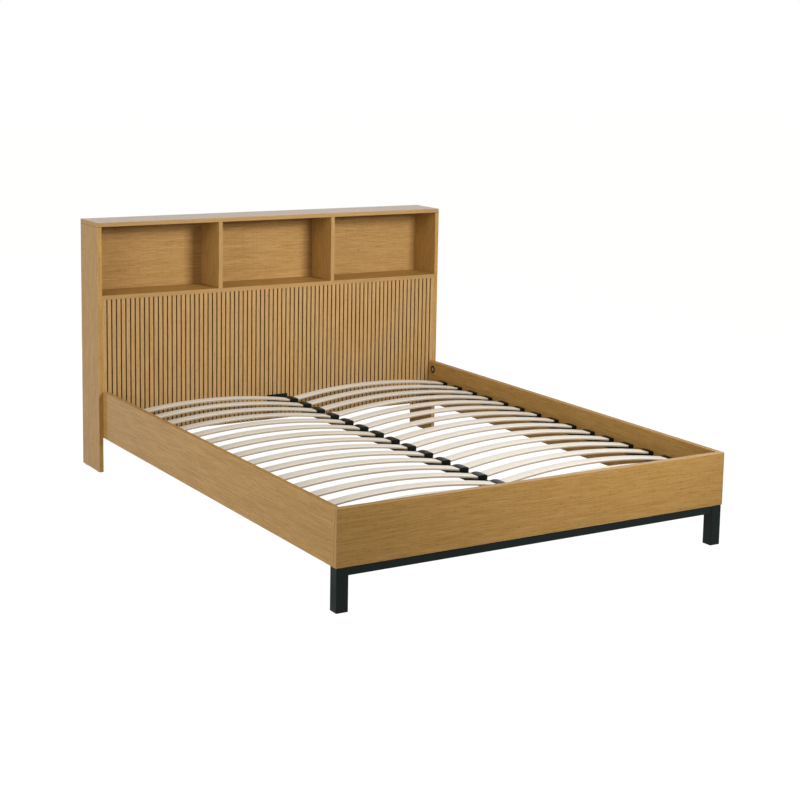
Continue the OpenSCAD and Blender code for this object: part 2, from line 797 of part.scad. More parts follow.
// The slats of both rows, numbered from the headboard
slat(-1, 0);  // slat_left_01
slat(-1, 1);  // slat_left_02
slat(-1, 2);  // slat_left_03
slat(-1, 3);  // slat_left_04
slat(-1, 4);  // slat_left_05
slat(-1, 5);  // slat_left_06
slat(-1, 6);  // slat_left_07
slat(-1, 7);  // slat_left_08
slat(-1, 8);  // slat_left_09
slat(-1, 9);  // slat_left_10
slat(-1, 10);  // slat_left_11
slat(-1, 11);  // slat_left_12
slat(-1, 12);  // slat_left_13
slat(-1, 13);  // slat_left_14
slat(-1, 14);  // slat_left_15
slat(1, 0);  // slat_right_01
slat(1, 1);  // slat_right_02
slat(1, 2);  // slat_right_03
slat(1, 3);  // slat_right_04
slat(1, 4);  // slat_right_05
slat(1, 5);  // slat_right_06
slat(1, 6);  // slat_right_07
slat(1, 7);  // slat_right_08
slat(1, 8);  // slat_right_09
slat(1, 9);  // slat_right_10
slat(1, 10);  // slat_right_11
slat(1, 11);  // slat_right_12
slat(1, 12);  // slat_right_13
slat(1, 13);  // slat_right_14
slat(1, 14);  // slat_right_15
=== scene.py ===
# Double bed with a cubby headboard: the looks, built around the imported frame.
# Metres, in the same frame as the CAD.
import math
import bpy
import numpy as np
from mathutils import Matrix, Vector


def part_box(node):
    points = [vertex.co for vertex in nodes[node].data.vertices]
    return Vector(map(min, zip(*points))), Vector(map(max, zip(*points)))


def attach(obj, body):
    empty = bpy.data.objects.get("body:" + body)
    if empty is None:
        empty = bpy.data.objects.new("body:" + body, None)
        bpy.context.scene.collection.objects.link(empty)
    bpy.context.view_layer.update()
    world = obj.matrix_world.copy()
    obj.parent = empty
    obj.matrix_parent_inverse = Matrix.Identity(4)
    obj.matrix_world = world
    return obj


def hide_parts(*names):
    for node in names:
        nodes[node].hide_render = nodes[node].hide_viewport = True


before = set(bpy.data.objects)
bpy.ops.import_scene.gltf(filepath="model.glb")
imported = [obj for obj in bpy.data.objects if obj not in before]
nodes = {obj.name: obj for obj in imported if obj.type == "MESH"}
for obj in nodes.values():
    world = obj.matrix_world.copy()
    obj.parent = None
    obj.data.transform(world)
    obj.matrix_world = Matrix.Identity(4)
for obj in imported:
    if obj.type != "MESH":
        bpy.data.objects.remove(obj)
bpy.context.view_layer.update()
print("frame loaded:", len(nodes), "nodes")


# Shader nodes: a small way to write them down

class Wire:
    # One value inside a node tree. Arithmetic on it adds Math nodes.
    def __init__(self, shading, socket):
        self.shading = shading
        self.socket = socket

    def calculate(self, operation, *values):
        settings = {"operation": operation}
        return self.shading.add("ShaderNodeMath", settings, dict(enumerate(values)))[0]

    def __add__(self, other):
        return self.calculate("ADD", self, other)

    def __radd__(self, other):
        return self.calculate("ADD", other, self)

    def __sub__(self, other):
        return self.calculate("SUBTRACT", self, other)

    def __rsub__(self, other):
        return self.calculate("SUBTRACT", other, self)

    def __mul__(self, other):
        return self.calculate("MULTIPLY", self, other)

    def __rmul__(self, other):
        return self.calculate("MULTIPLY", other, self)

    def __truediv__(self, other):
        return self.calculate("DIVIDE", self, other)

    def __rtruediv__(self, other):
        return self.calculate("DIVIDE", other, self)

    def __neg__(self):
        return self.calculate("MULTIPLY", self, -1.0)

    def __abs__(self):
        return self.calculate("ABSOLUTE", self)

    def below(self, other):
        # The smaller of two values
        return self.calculate("MINIMUM", self, other)

    def above(self, other):
        # The larger of two values
        return self.calculate("MAXIMUM", self, other)

    def wave(self):
        return self.calculate("SINE", self)

    def step(self, low, high, start=0.0, end=1.0):
        # Smooth step from start to end as the value goes from low to high
        settings = {"interpolation_type": "SMOOTHSTEP"}
        values = {"Value": self, "From Min": low, "From Max": high, "To Min": start, "To Max": end}
        return self.shading.add("ShaderNodeMapRange", settings, values)[0]


class Shading:
    # The node tree of a material or of the world
    def __init__(self, tree):
        self.tree = tree

    def add(self, kind, settings=None, values=None):
        # Adds a node of a type: first its settings, then the numbers, colours or wires of its sockets
        node = self.tree.nodes.new(kind)
        for key, value in (settings or {}).items():
            setattr(node, key, value)
        for key, value in (values or {}).items():
            self.feed(node.inputs[key], value)
        return [Wire(self, socket) for socket in node.outputs]

    def feed(self, socket, value):
        if isinstance(value, Wire):
            self.tree.links.new(value.socket, socket)
        elif isinstance(value, tuple) and socket.type == "RGBA":
            socket.default_value = value + (1.0,)
        else:
            socket.default_value = value


class Finish(Shading):
    # A material with one Principled shader, and the nodes that feed it
    def __init__(self, name, **constants):
        self.material = bpy.data.materials.new(name)
        self.material.use_nodes = True
        super().__init__(self.material.node_tree)
        self.shader = self.tree.nodes["Principled BSDF"]
        for socket, value in constants.items():
            self.shader.inputs[socket.replace("_", " ")].default_value = value

    def parts(self, vector):
        return self.add("ShaderNodeSeparateXYZ", {}, {0: vector})

    def place(self):
        # x, y and z of the point, in metres
        return self.parts(self.add("ShaderNodeTexCoord")[3])  # its Object output

    def facing(self):
        # x, y and z of the direction that the surface faces
        return self.parts(self.add("ShaderNodeTexCoord")[1])  # its Normal output

    def vector(self, x, y, z):
        return self.add("ShaderNodeCombineXYZ", {}, {0: x, 1: y, 2: z})[0]

    def pattern(self, place, look):
        # Noise with grains of the look's sizes. With a range, it becomes 0 below and 1 above it.
        stretched = [part / size for part, size in zip(place, look["sizes"])]
        values = {"Vector": self.vector(*stretched), "Scale": 1.0, "Detail": look["detail"]}
        noise = self.add("ShaderNodeTexNoise", {"noise_dimensions": "3D"}, values)[0]
        return noise.step(*look["range"]) if "range" in look else noise

    def blend(self, share, first, second):
        # Between two colours
        return self.add("ShaderNodeMix", {"data_type": "RGBA"}, {0: share, 6: first, 7: second})[2]

    def choose(self, share, first, second):
        # Between two vectors
        return self.add("ShaderNodeMix", {"data_type": "VECTOR"}, {0: share, 4: first, 5: second})[1]

    def bump(self, height, depth):
        return self.add("ShaderNodeBump", {}, {"Strength": 1.0, "Distance": depth, "Height": height})[0]

    def out(self, **wires):
        for socket, wire in wires.items():
            self.feed(self.shader.inputs[socket.replace("_", " ")], wire)
        return self.material


# Oak veneer: straight streaks that wander a little, growth rings and short dark pores.
# The sizes of a pattern are along the grain, across it and into the wood.

oak = {
    "light": (0.544, 0.331, 0.112),
    "dark": (0.343, 0.187, 0.045),
    "wander": {"sizes": (0.22, 0.16, 0.16), "detail": 1.0},
    "wanderBy": 0.010,
    "figure": {"sizes": (0.60, 0.020, 0.020), "detail": 2.0, "range": (0.30, 0.70)},
    "figureShare": 0.15,
    "rings": {"sizes": (0.12, 0.0034, 0.0034), "detail": 2.0, "range": (0.28, 0.72)},
    "ringShare": 0.47,
    "ringRoughness": 0.05,
    "fine": {"sizes": (0.05, 0.0015, 0.0015), "detail": 2.0, "range": (0.30, 0.70)},
    "fineShare": 0.38,
    "fineHeight": 0.3,
    "pores": {"sizes": (0.022, 0.0010, 0.0010), "detail": 0.0, "range": (0.58, 0.74)},
    "poreFade": 1.25,
    "poreColour": (0.165, 0.075, 0.014),
    "poreShare": 0.60,
    "poreHeight": 0.7,
    "poreRoughness": 0.12,
    "reliefDepth": 0.00010,
    "cutAcross": 0.37,
    # Painted highlight: the edge colour below is laid along the boards' edges, where light catches them.
    "edgeWidth": 0.0030,
    "edgeColour": (0.60, 0.43, 0.24),
    # Painted light: a paler, greyer oak for faces towards the foot, which the key lamp lights.
    "bandColour": (0.371, 0.236, 0.122),
    "bandShare": 0.5,
    "jointColour": (0.130, 0.060, 0.018),
    "jointWidth": 0.0011,
    "jointShare": 0.75,
    "roughness": 0.45,
    "specular": 0.03,
    "lacquer": 0.70,
    "lacquerIor": 1.2,
    "lacquerRoughness": 0.12,
}
squarely = (0.6, 0.8)  # a surface faces an axis not at all below the first, and fully above the second


def edges(x, y, z, box, width):
    # 1 on the edges of a box: where a point is close to two of its sides at once
    near = []
    for value, low, high in zip((x, y, z), *box):
        near.append((value - low).below(high - value).step(0.0, width, 1.0, 0.0))
    pairs = near[0] * near[1] + near[1] * near[2] + near[2] * near[0]
    return pairs.below(1.0)


def oakFinish(name, grain, seed, look=oak, box=None, edgeShare=0.15, banded=False, jointHeight=None,
              grooveFace=None):
    # grain is the axis that the fibres follow, and seed is where in the wood the board was cut.
    # Figure, rings, fine streaks and pores are the same noise, stretched along the grain at four widths.
    wood = Finish(name, Specular_IOR_Level=look["specular"], Coat_Weight=look["lacquer"],
                  Coat_IOR=look["lacquerIor"], Coat_Roughness=look["lacquerRoughness"])
    x, y, z = wood.place()
    nx, ny, nz = wood.facing()
    along, across, deep = {"x": (x, z, y), "y": (y, z, x), "z": (z, x, y)}[grain]
    facingEnd = abs({"x": nx, "y": ny, "z": nz}[grain]).step(*squarely)
    face = wood.vector(along + seed, across + look["cutAcross"] * seed, deep)
    end = wood.vector(across + seed, deep, along)
    u, v, w = wood.parts(wood.choose(facingEnd, face, end))
    bent = v + (wood.pattern((u, v, w), look["wander"]) - 0.5) * look["wanderBy"]
    figure, rings, fine, pores = [wood.pattern((u, bent, w), look[key])
                                  for key in ("figure", "rings", "fine", "pores")]
    pores = pores * (look["poreFade"] - rings).below(1.0)
    lightness = figure * look["figureShare"] + rings * look["ringShare"] + fine * look["fineShare"]
    colour = wood.blend(lightness, look["dark"], look["light"])
    colour = wood.blend(pores * look["poreShare"], colour, look["poreColour"])
    # Painted highlight: the box's edges get a paler colour, where light catches them.
    if box:
        onEdge = edges(x, y, z, box, look["edgeWidth"])
        colour = wood.blend(onEdge * edgeShare, colour, look["edgeColour"])
    # Painted light: faces towards the foot face the key lamp and get the paler, greyer colour.
    if banded:
        towardsFoot = (-ny).step(*squarely)
        colour = wood.blend(towardsFoot * look["bandShare"], colour, look["bandColour"])
    if jointHeight is not None:
        nearJoint = abs(z - jointHeight).step(look["jointWidth"] / 2, look["jointWidth"], 1.0, 0.0)
        colour = wood.blend(nearJoint * look["jointShare"], colour, look["jointColour"])
    # Painted shade: deeper in the grooves the colour turns dark.
    if grooveFace is not None:
        inGroove = (y - grooveFace).step(look["grooveStart"], look["grooveEnd"])
        colour = wood.blend(inGroove, colour, look["grooveColour"])
    height = (1.0 - pores) * look["poreHeight"] + fine * look["fineHeight"]
    rough = look["roughness"] + pores * look["poreRoughness"] + (0.5 - rings) * look["ringRoughness"]
    return wood.out(Base_Color=colour, Roughness=rough, Normal=wood.bump(height, look["reliefDepth"]))


# Bent birch: pale faces, and the plies that show along the edges.
# The sizes of a pattern are along the slat, across it and through its thickness.

birch = {
    "light": (0.890, 0.870, 0.810),
    "dark": (0.800, 0.765, 0.690),
    "edgeLight": (0.56, 0.47, 0.35),
    "edgeDark": (0.34, 0.26, 0.18),
    "streaks": {"sizes": (0.30, 0.0045, 0.004), "detail": 2.0, "range": (0.30, 0.70)},
    "streakShare": 0.55,
    "streakHeight": 0.6,
    "tint": {"sizes": (0.8, 0.05, 0.02), "detail": 1.0, "range": (0.30, 0.70)},
    "tintShare": 0.45,
    "flecks": {"sizes": (0.009, 0.0008, 0.0008), "detail": 0.0, "range": (0.62, 0.74)},
    "fleckShare": 0.30,
    "fleckHeight": 0.4,
    "fleckRoughness": 0.08,
    "plies": 7,
    "plyBlend": 0.4,
    "plyShare": 0.65,
    "plyStreakShare": 0.35,
    "plyHeight": 1.5,
    "edgeReach": (0.0012, 0.0005),
    "edgeRoughness": 0.15,
    "reliefDepth": 0.00010,
    "roughness": 0.52,
    "specular": 0.4,
}


def birchFinish(name, size):
    # Reads the slat's own coordinates: along the arc, across the slat and through its thickness
    wood = Finish(name, Specular_IOR_Level=birch["specular"])
    own = wood.parts(wood.add("ShaderNodeAttribute", {"attribute_name": "slatPlace"})[1])
    along, across, deep = own
    streaks, tint, flecks = [wood.pattern(own, birch[key]) for key in ("streaks", "tint", "flecks")]
    lightness = streaks * birch["streakShare"] + tint * birch["tintShare"]
    face = wood.blend(lightness, birch["dark"], birch["light"])
    face = wood.blend(flecks * birch["fleckShare"], face, birch["edgeDark"])
    plyThickness = size["thickness"] / birch["plies"]
    plies = (deep * (math.pi / plyThickness)).wave().step(-birch["plyBlend"], birch["plyBlend"])
    plyLightness = plies * birch["plyShare"] + streaks * birch["plyStreakShare"]
    plyColour = wood.blend(plyLightness, birch["edgeDark"], birch["edgeLight"])
    edgeFrom, edgeTo = [size["width"] / 2 - reach for reach in birch["edgeReach"]]
    onEdge = abs(across).step(edgeFrom, edgeTo)
    colour = wood.blend(onEdge, face, plyColour)
    height = streaks * birch["streakHeight"] + (1.0 - flecks) * birch["fleckHeight"]
    height = height + onEdge * plies * birch["plyHeight"]
    rough = birch["roughness"] + onEdge * birch["edgeRoughness"] + flecks * birch["fleckRoughness"]
    return wood.out(Base_Color=colour, Roughness=rough, Normal=wood.bump(height, birch["reliefDepth"]))


# Powder-coated steel, moulded plastic, zinc and turned beech

coat = {
    "colour": (0.0045, 0.0090, 0.0080),
    "worn": (0.0130, 0.0210, 0.0190),
    "peel": {"sizes": (0.0016, 0.0016, 0.0016), "detail": 2.0},
    "peelShare": 0.25,
    "peelRoughness": 0.06,
    "peelDepth": 0.00006,
    "cloud": {"sizes": (0.06, 0.06, 0.06), "detail": 2.0, "range": (0.35, 0.70)},
    "cloudShare": 0.35,
    "cloudRoughness": 0.10,
    "roughness": 0.46,
    "specular": 0.12,
}


def steelFinish(name):
    # Fine orange peel, and broad clouds where the coat has dulled
    paint = Finish(name, Specular_IOR_Level=coat["specular"])
    place = paint.place()
    peel = paint.pattern(place, coat["peel"])
    cloud = paint.pattern(place, coat["cloud"])
    wear = cloud * coat["cloudShare"] + peel * coat["peelShare"]
    colour = paint.blend(wear, coat["colour"], coat["worn"])
    rough = coat["roughness"] + cloud * coat["cloudRoughness"] + peel * coat["peelRoughness"]
    return paint.out(Base_Color=colour, Roughness=rough, Normal=paint.bump(peel, coat["peelDepth"]))


plastic = {
    "colour": (0.0040, 0.0058, 0.0042),
    "scuffed": (0.0150, 0.0160, 0.0115),
    "leather": {"sizes": (0.0009, 0.0009, 0.0009), "detail": 3.0},
    "leatherShare": 0.2,
    "leatherRoughness": 0.10,
    "leatherDepth": 0.00003,
    "scuffs": {"sizes": (0.012, 0.004, 0.012), "detail": 2.0, "range": (0.50, 0.80)},
    "scuffShare": 0.5,
    "scuffPolish": 0.08,
    "roughness": 0.30,
    "specular": 0.12,
}


def plasticFinish(name):
    # Fine moulded grain, with paler and smoother scuffs
    moulded = Finish(name, Specular_IOR_Level=plastic["specular"])
    place = moulded.place()
    leather = moulded.pattern(place, plastic["leather"])
    scuffs = moulded.pattern(place, plastic["scuffs"])
    wear = scuffs * plastic["scuffShare"] + leather * plastic["leatherShare"]
    colour = moulded.blend(wear, plastic["colour"], plastic["scuffed"])
    rough = plastic["roughness"] + leather * plastic["leatherRoughness"] - scuffs * plastic["scuffPolish"]
    relief = moulded.bump(leather, plastic["leatherDepth"])
    return moulded.out(Base_Color=colour, Roughness=rough, Normal=relief)


zinc = {
    "dark": (0.50, 0.51, 0.53),
    "light": (0.70, 0.71, 0.72),
    "crystals": {"sizes": (0.002, 0.002, 0.002), "detail": 3.0},
    "crystalRoughness": 0.18,
    "crystalDepth": 0.00002,
    "roughness": 0.28,
}


def zincFinish(name):
    metal = Finish(name, Metallic=1.0)
    crystals = metal.pattern(metal.place(), zinc["crystals"])
    colour = metal.blend(crystals, zinc["dark"], zinc["light"])
    rough = zinc["roughness"] + crystals * zinc["crystalRoughness"]
    return metal.out(Base_Color=colour, Roughness=rough, Normal=metal.bump(crystals, zinc["crystalDepth"]))


beech = {
    "dark": (0.52, 0.34, 0.19),
    "light": (0.68, 0.48, 0.29),
    "grain": {"sizes": (0.002, 0.002, 0.002), "detail": 2.0},
    "grainRoughness": 0.1,
    "grainDepth": 0.00006,
    "roughness": 0.55,
    "specular": 0.35,
}


def beechFinish(name):
    wood = Finish(name, Specular_IOR_Level=beech["specular"])
    grain = wood.pattern(wood.place(), beech["grain"])
    colour = wood.blend(grain, beech["dark"], beech["light"])
    rough = beech["roughness"] + grain * beech["grainRoughness"]
    return wood.out(Base_Color=colour, Roughness=rough, Normal=wood.bump(grain, beech["grainDepth"]))


# The inner boards have less lacquer. The back of the cubbies is a little greyer: painted sheen. The ribs
# between the grooves are paler and greyer, and deeper in the grooves the colour turns dark: painted shade.
innerOak = dict(oak, lacquer=0.15, specular=0.02)
cubbySheenOak = dict(innerOak, light=(0.536, 0.331, 0.136), dark=(0.338, 0.187, 0.053))
flutedOak = dict(oak, light=(0.525, 0.340, 0.150), dark=(0.395, 0.232, 0.086),
                 grooveColour=(0.060, 0.030, 0.024), grooveStart=0.0012, grooveEnd=0.0032)
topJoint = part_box("headboard_top")[0][2]

# Each board has its own cut of veneer. On some boards the faces towards the foot, which face the key lamp,
# are painted paler and greyer: painted light.
boards = {
    # The rails' edges get a stronger painted highlight.
    "rail_foot": {"grain": "x", "seed": 1.7, "edgeShare": 0.55},
    "rail_left": {"grain": "y", "seed": 4.1, "edgeShare": 0.55},
    "rail_right": {"grain": "y", "seed": 7.3, "edgeShare": 0.55, "look": innerOak},
    "headboard_side_left": {"grain": "z", "seed": 2.9, "jointHeight": topJoint},
    "headboard_side_right": {"grain": "z", "seed": 5.2, "jointHeight": topJoint, "look": innerOak},
    "headboard_top": {"grain": "x", "seed": 8.6, "jointHeight": topJoint, "banded": True},
    "headboard_shelf": {"grain": "x", "seed": 3.3, "banded": True, "look": innerOak},
    "divider_left": {"grain": "z", "seed": 6.4, "banded": True, "look": innerOak},
    "divider_right": {"grain": "z", "seed": 9.5, "banded": True, "look": innerOak},
    "cubby_back": {"grain": "x", "seed": 11.2, "look": cubbySheenOak},
    "lower_back": {"grain": "x", "seed": 13.8, "look": innerOak},
    "base_board": {"grain": "x", "seed": 15.1, "look": innerOak},
}


def clothe(name, material):
    # Gives a node of the frame its material
    slots = nodes[name].material_slots
    for slot in slots:
        slot.material = material
    if not slots:
        nodes[name].data.materials.append(material)


for name, cut in boards.items():
    clothe(name, oakFinish("oak " + name, box=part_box(name), **cut))

blackSteel = steelFinish("black steel")
blackPlastic = plasticFinish("black plastic")
zincPlate = zincFinish("zinc")
turnedBeech = beechFinish("beech")
otherNodes = {
    "leg_left": blackSteel,
    "leg_right": blackSteel,
    "crossbar": blackSteel,
    "ledge_left": blackSteel,
    "ledge_right": blackSteel,
    "centre_beam": blackSteel,
    "beam_brackets": blackSteel,
    "frame_screws": blackSteel,
    "headboard_glides": blackPlastic,
    "leg_feet": blackPlastic,
    "fitting_cores": zincPlate,
    "connector_bolts": zincPlate,
    "headboard_dowels": turnedBeech,
}
for name, material in otherNodes.items():
    clothe(name, material)
print("boards, steel and plastic have their materials")


# Surfaces worked out with numpy

creaseAngle = 35.0  # degrees: an edge that turns by more stays sharp
quarterTurn = math.pi / 2


def ringPiece(name, rings, material, replaced=(), joined=False, frames=None):
    # rings holds copies x rings x points: each ring is closed, quads join it to the next one,
    # and the first and last ring of a copy are capped, or joined to each other.
    # The enclosed volume, a sum of triple products over the quads, is negative when they face inwards.
    copies, rows, count = rings.shape[:3]
    points = rings.reshape(-1, 3)
    index = np.arange(len(points)).reshape(copies, rows, count)
    lower = index if joined else index[:, :-1]
    upper = np.roll(index, -1, 1) if joined else index[:, 1:]
    quads = np.stack([lower, np.roll(lower, -1, 2), np.roll(upper, -1, 2), upper], -1).reshape(-1, 4)
    corner = points[quads]
    volume = np.einsum("ij,ij", corner[:, 0], np.cross(corner[:, 1], corner[:, 2]))
    volume += np.einsum("ij,ij", corner[:, 0], np.cross(corner[:, 2], corner[:, 3]))
    caps = [] if joined else index[:, 0, ::-1].tolist() + index[:, -1].tolist()
    if volume < 0:
        quads = quads[:, ::-1]
        caps = [cap[::-1] for cap in caps]
    mesh = bpy.data.meshes.new(name)
    mesh.from_pydata(points.tolist(), [], quads.tolist() + caps)
    if frames is not None:
        place = mesh.attributes.new("slatPlace", "FLOAT_VECTOR", "POINT")
        place.data.foreach_set("vector", frames.reshape(-1).astype(np.float32))
    mesh.shade_smooth()
    mesh.set_sharp_from_angle(angle=math.radians(creaseAngle))
    piece = bpy.data.objects.new(name, mesh)
    bpy.context.scene.collection.objects.link(piece)
    mesh.materials.append(material)
    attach(piece, "root")
    if replaced:
        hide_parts(*replaced)
    return piece


def roundedLoop(low, high, radius, steps):
    # A rectangle from low to high with round corners, as a closed loop of 4 * (steps + 1) points:
    # a quarter circle about each of the four points that lie one radius inside both sides.
    # A whole row of rectangles is worked out at once.
    low, high, radius = np.broadcast_arrays(low, high, np.asarray(radius, float)[..., None])
    turn = np.linspace(0.0, quarterTurn, steps + 1)
    angle = (np.arange(4)[:, None] * quarterTurn + turn).reshape(-1)
    right = np.repeat([1.0, 0.0, 0.0, 1.0], steps + 1)
    top = np.repeat([1.0, 1.0, 0.0, 0.0], steps + 1)
    centreLow = (low + radius)[..., None, :]
    centreHigh = (high - radius)[..., None, :]
    centre = centreLow + (centreHigh - centreLow) * np.stack([right, top], -1)
    return centre + radius[..., None, :] * np.stack([np.cos(angle), np.sin(angle)], -1)


# Slats: a rounded section carried along an arc

slatSize = {
    "thickness": 0.008,
    "width": 0.053,
    "bow": 0.0355,
    "edgeRadius": 0.0030,
    "cornerSteps": 5,
    "stations": 41,
    "cutStep": 1.9,  # each slat starts its pattern this much further along
}


def slatArc(x, box):
    # Height of a slat's upper and lower face over x: circles about one centre, the upper one through
    # both ends and the crown. Its radius is half the chord squared plus the bow squared, over twice the
    # bow.
    low, high = box
    middle = (low[0] + high[0]) / 2
    half = (high[0] - low[0]) / 2
    bow = slatSize["bow"]
    radius = (half * half + bow * bow) / (2 * bow)
    centre = high[2] - radius
    offset = (x - middle) ** 2
    upper = centre + np.sqrt(radius ** 2 - offset)
    lower = centre + np.sqrt((radius - slatSize["thickness"]) ** 2 - offset)
    return upper, lower


def slat(name, number, material):
    # At each x, the rounded section stretched between the arc's lower and upper face.
    # Its own coordinates are the place along the slat, across it and through its thickness.
    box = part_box(name)
    low, high = box
    x = np.linspace(low[0], high[0], slatSize["stations"])
    upper, lower = slatArc(x, box)
    loop = roundedLoop([0.0, 0.0], [slatSize["width"], slatSize["thickness"]],
                       slatSize["edgeRadius"], slatSize["cornerSteps"])
    across = loop[:, 0] - slatSize["width"] / 2
    share = loop[:, 1] / slatSize["thickness"]
    rings = np.empty((1, len(x), len(loop), 3))
    rings[0, :, :, 0] = x[:, None]
    rings[0, :, :, 1] = (low[1] + high[1]) / 2 + across
    rings[0, :, :, 2] = lower[:, None] + (upper - lower)[:, None] * share
    own = np.empty_like(rings)
    own[0, :, :, 0] = x[:, None] + slatSize["cutStep"] * number
    own[0, :, :, 1] = across
    own[0, :, :, 2] = loop[:, 1]
    return ringPiece(name + "_ply", rings, material, [name], frames=own)


slatNames = sorted(name for name in nodes if name.startswith("slat_"))
birchPly = birchFinish("bent birch", slatSize)
for number, name in enumerate(slatNames):
    slat(name, number, birchPly)
print("slats:", len(slatNames))


# Holders: a shell that runs out to its open end, turns round the rim and runs back in as a pocket

holderSize = {
    "wall": 0.0022,
    "fit": 0.00035,
    "round": 0.0020,
    "cornerSteps": 4,
    "rim": 0.0006,
    "rimTurn": 0.3,
    "rimFlare": 0.8,
    "pocketRound": 0.0014,
    "pocketStart": 0.004,
    "pocketSections": 4,
    "lip": 0.0014,
    "mouthSlant": 0.0055,
    "closedLoops": (0.0006, 0.006),
    "centreLength": 0.040,
    "centreSections": 12,
    "crown": 0.0035,
    "sag": 0.0090,
    "pocketEnd": 0.0031,
    "pegRadius": 0.0038,
    "pegLength": 0.007,
    "pegRound": 0.0008,
    "pegSteps": 4,
    "pegSides": 20,
    "pegGap": 0.032,
}
holderHalf = slatSize["width"] / 2 + holderSize["fit"] + holderSize["wall"]
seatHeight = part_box("ledge_right")[1][2]
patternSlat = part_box("slat_right_01")
rightSlats = [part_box(name) for name in slatNames if "_right_" in name]
slatMiddles = np.array([(low[1] + high[1]) / 2 for low, high in rightSlats])


def outerLoops(x, shrink, roofAt):
    # The outer section at each x, from the seat to the roof, drawn in by shrink near the open rim.
    # A box section is stretched upwards so that its top follows the roof over x and y.
    flat = roofAt(x, np.zeros_like(x))
    low = np.stack([-holderHalf + shrink, seatHeight + shrink], -1)
    high = np.stack([holderHalf - shrink, flat - shrink], -1)
    loops = roundedLoop(low, high, np.full_like(x, holderSize["round"]), holderSize["cornerSteps"])
    roof = roofAt(x[:, None], loops[..., 0])
    share = (loops[..., 1] - seatHeight) / (flat - seatHeight)[:, None]
    loops[..., 1] = seatHeight + share * (roof - seatHeight)
    return loops


def pocketLoops(x, grow, upper, lower):
    # The pocket's section at each x: the slat's, wider by the fit on all sides, and by grow at the rim
    half = slatSize["width"] / 2 + holderSize["fit"] + grow
    low = np.stack([-half, lower - holderSize["fit"] - grow], -1)
    high = np.stack([half, upper + holderSize["fit"] + grow], -1)
    return roundedLoop(low, high, np.full_like(x, holderSize["pocketRound"]), holderSize["cornerSteps"])


def holderRings(outerX, roofAt, pocketX):
    # Sections for the outside along outerX, towards the open end, and for the pocket back along pocketX.
    # The rim turns from one to the other in three sections, each further out and narrower.
    rim = holderSize["rim"]
    turn = holderSize["rimTurn"]
    openEnd = outerX[-1]
    inward = np.sign(outerX[0] - openEnd)
    turnX = openEnd + inward * rim * np.array([1.0, turn, 0.0])
    turnShrink = rim * np.array([0.0, turn, 1.0])
    x = np.concatenate([outerX[:-1], turnX])
    shrink = np.concatenate([np.zeros(len(outerX) - 1), turnShrink])
    outer = outerLoops(x, shrink, roofAt)
    pocket = np.concatenate([[openEnd, openEnd + inward * rim], pocketX])
    grow = np.concatenate([[rim * holderSize["rimFlare"], 0.0], np.zeros(len(pocketX))])
    upper, lower = slatArc(pocket, patternSlat)
    loops = np.concatenate([outer, pocketLoops(pocket, grow, upper, lower)])
    rings = np.empty(loops.shape[:2] + (3,))
    rings[..., 0] = np.concatenate([x, pocket])[:, None]
    rings[..., 1:] = loops
    return rings


def overRows(rings):
    # One copy for each slat, moved along Y to the slat's middle
    copies = np.repeat(rings[None], len(slatMiddles), 0)
    copies[..., 1] += slatMiddles[:, None, None]
    return copies


def pegs(name, middleX):
    # A round peg with a rounded tip is a profile turned about Z, twice under each holder
    radius = holderSize["pegRadius"]
    edge = holderSize["pegRound"]
    turn = np.linspace(0.0, quarterTurn, holderSize["pegSteps"])
    radii = np.concatenate([radius - edge + edge * np.sin(turn), [radius]])
    heights = seatHeight - holderSize["pegLength"] + np.concatenate([edge - edge * np.cos(turn), [0.0]])
    heights[-1] = seatHeight + holderSize["fit"]
    angle = np.linspace(0.0, 2 * math.pi, holderSize["pegSides"], endpoint=False)
    rings = np.empty((len(radii), len(angle), 3))
    rings[..., 0] = middleX + radii[:, None] * np.cos(angle)
    rings[..., 1] = radii[:, None] * np.sin(angle)
    rings[..., 2] = heights[:, None]
    aside = [0.0, holderSize["pegGap"] / 2, 0.0]
    pair = np.concatenate([overRows(rings - aside), overRows(rings + aside)])
    return ringPiece(name + "_pegs", pair, blackPlastic)


def sideHolders(name, side):
    # Worked out for the right side and mirrored by side. The roof is level, and each section leans
    # back in step with its height and its nearness to the mouth.
    low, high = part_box("holders_right")
    closed = high[0]
    openEnd = low[0]
    pocketEnd = patternSlat[1][0] + holderSize["fit"]
    slant = holderSize["mouthSlant"]
    # The level roof starts over a lower part of the slat because of the lean, and is thin there
    roofTop = slatArc(openEnd + slant, patternSlat)[0] + holderSize["fit"] + holderSize["lip"]

    def roofAt(x, y):
        return np.full(np.broadcast(x, y).shape, roofTop)

    closedLoops = [closed - distance for distance in holderSize["closedLoops"]]
    outerX = np.array([closed, *closedLoops, (closed + openEnd) / 2, openEnd])
    pocketX = np.linspace(openEnd + holderSize["pocketStart"], pocketEnd, holderSize["pocketSections"])
    rings = holderRings(outerX, roofAt, pocketX)
    rise = np.clip((rings[..., 2] - seatHeight) / (roofTop - seatHeight), 0.0, 1.0)
    nearMouth = (closed - rings[..., 0]) / (closed - openEnd)
    rings[..., 0] += slant * rise * nearMouth
    rings[..., 0] *= side
    pegs(name, side * (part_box("rail_right")[0][0] + openEnd) / 2)
    return ringPiece(name + "_caps", overRows(rings), blackPlastic, [name])


def arcDrop(offset, half, fall):
    # How far an arc that falls by fall at half has dropped at offset. Its radius is half squared plus
    # fall squared, over twice the fall.
    radius = (half ** 2 + fall ** 2) / (2 * fall)
    return radius - np.sqrt(radius ** 2 - np.minimum(np.abs(offset), half) ** 2)


